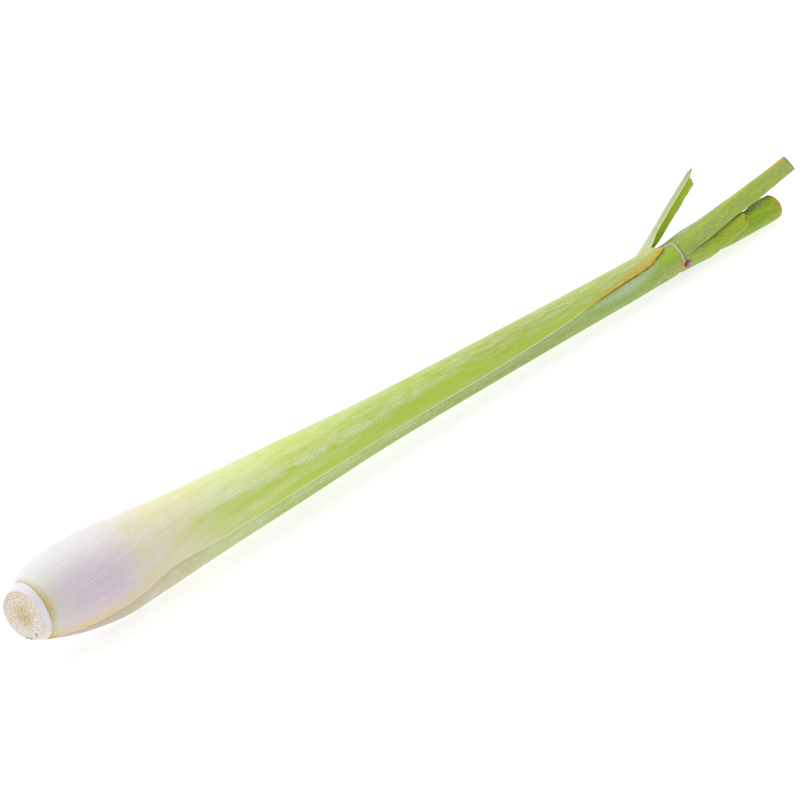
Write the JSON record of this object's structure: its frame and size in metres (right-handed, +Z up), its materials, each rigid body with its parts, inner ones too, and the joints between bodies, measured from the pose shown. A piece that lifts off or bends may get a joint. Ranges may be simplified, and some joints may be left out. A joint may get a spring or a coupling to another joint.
{
  "type": "lemongrass stalk",
  "caption": "Cut lemongrass stalk lying down: a short solid stem base with leaves rolled round each other into a pale bulb and a green neck, their blades cut short.",
  "frame": {"origin": "on the surface the stalk lies on, under the thickest place of the bulb", "axes": "+X runs along the stalk from the cut root end to the leaf tips, +Z is up, +Y is the side that the blades lean to"},
  "size_m": [0.3102, 0.0249, 0.0238],
  "materials": {
    "stem_base": "matt, moist cut plant flesh",
    "outer_leaf": "satin, waxy bloom, lengthwise veins",
    "second_leaf": "satin, waxy bloom, lengthwise veins",
    "third_leaf": "satin, lengthwise veins",
    "inner_leaf": "satin, lengthwise veins"
  },
  "bodies": {
    "root": {"stem_base": "stem_base", "outer_leaf": "outer_leaf", "second_leaf": "second_leaf", "third_leaf": "third_leaf", "inner_leaf": "inner_leaf"}
  },
  "joints": []
}
